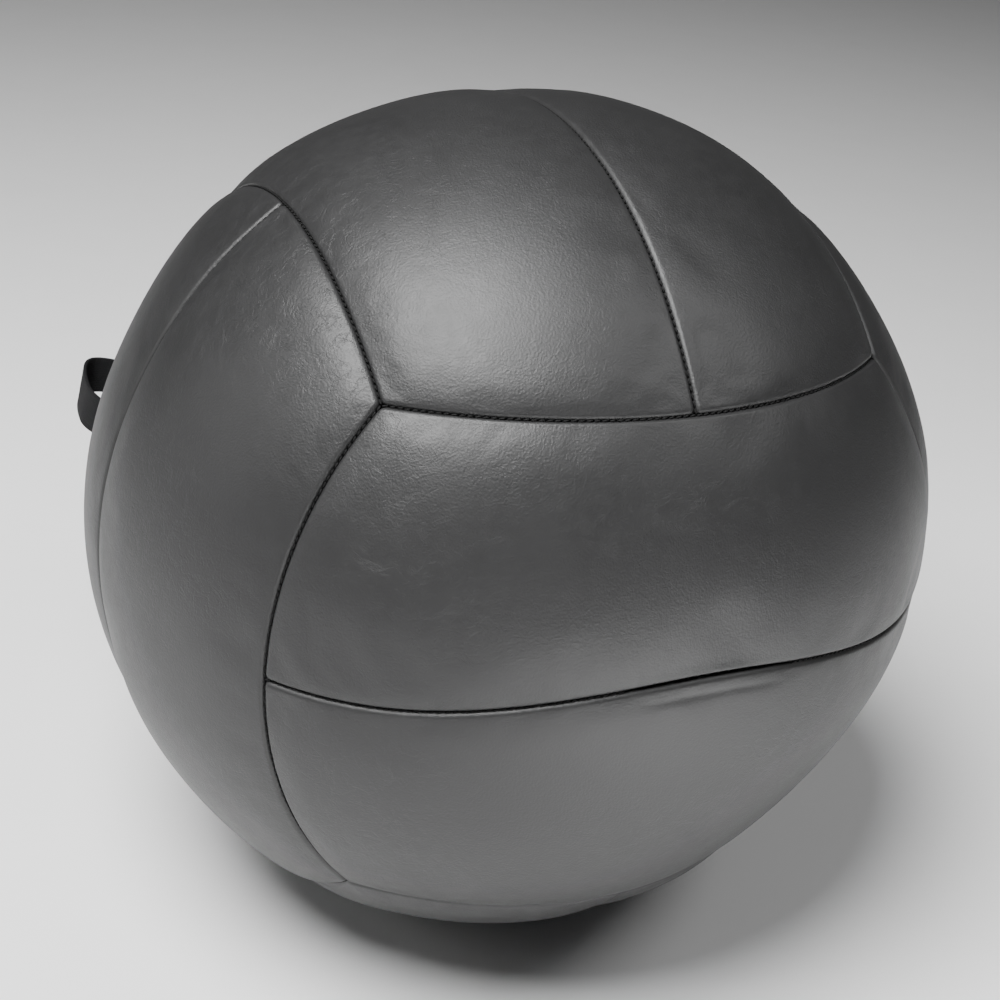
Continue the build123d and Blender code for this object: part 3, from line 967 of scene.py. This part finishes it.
def build_studio():
    """A pale floor that runs out of sight, a dim white room, soft lamps, and pools of light on the floor."""
    bm = bmesh.new()
    bmesh.ops.create_grid(bm, x_segments=2, y_segments=2, size=6.0)
    floor = new_object("floor", bm)
    finish = Finish("pale_floor")
    speckle = finish.noise(finish.place(), 0.05, 3.0)
    finish.colour(speckle, (0.86, 0.86, 0.86), (0.89, 0.89, 0.89))
    finish.roughness(0.7 + speckle * 0.1)
    floor.data.materials.append(finish.material)
    world = bpy.data.worlds.new("room")
    world.use_nodes = True
    world.node_tree.nodes["Background"].inputs["Color"].default_value = (1, 1, 1, 1)
    world.node_tree.nodes["Background"].inputs["Strength"].default_value = ROOM_LIGHT
    bpy.context.scene.world = world
    for name, place, size, power in LIGHTS:
        light = bpy.data.lights.new(name, "AREA")
        light.shape = "DISK"
        light.size = size
        light.energy = power
        lamp = bpy.data.objects.new(name, light)
        lamp.location = CENTRE + Vector(place)
        lamp.rotation_euler = (CENTRE - lamp.location).to_track_quat("-Z", "Y").to_euler()
        bpy.context.scene.collection.objects.link(lamp)
    for name, (x, y), spread, power in FLOOR_LIGHTS:
        light = bpy.data.lights.new(name, "SPOT")
        light.spot_size = radians(spread)
        light.spot_blend = 1.0
        light.shadow_soft_size = 0.1
        light.energy = power
        lamp = bpy.data.objects.new(name, light)
        lamp.location = (x, y, FLOOR_LIGHT_HEIGHT)
        bpy.context.scene.collection.objects.link(lamp)


def build_camera():
    """A camera that looks down on the ball from its front left, leaning a little."""
    camera = bpy.data.cameras.new("camera")
    camera.sensor_width = 36.0
    camera.lens = CAMERA_LENS
    camera.shift_x, camera.shift_y = CAMERA_SHIFT
    flat = cos(CAMERA_HEIGHT)
    back = Vector((sin(CAMERA_TURN) * flat, -cos(CAMERA_TURN) * flat, sin(CAMERA_HEIGHT)))
    right = Vector((0, 0, 1)).cross(back).normalized()
    up = back.cross(right)
    leaning_right = right * cos(CAMERA_ROLL) + up * sin(CAMERA_ROLL)
    leaning_up = up * cos(CAMERA_ROLL) - right * sin(CAMERA_ROLL)
    pose = Matrix((leaning_right, leaning_up, back)).transposed().to_4x4()
    pose.translation = CENTRE + back * CAMERA_DISTANCE * RADIUS
    viewer = bpy.data.objects.new("camera", camera)
    viewer.matrix_world = pose
    bpy.context.scene.collection.objects.link(viewer)
    bpy.context.scene.camera = viewer


black_sewing_thread = black_thread()
build_covers(black_leather())
build_pads(pale_foam())
build_stitching(black_sewing_thread)
dress_inner_pieces(black_sewing_thread)
build_loop()
build_studio()
build_camera()
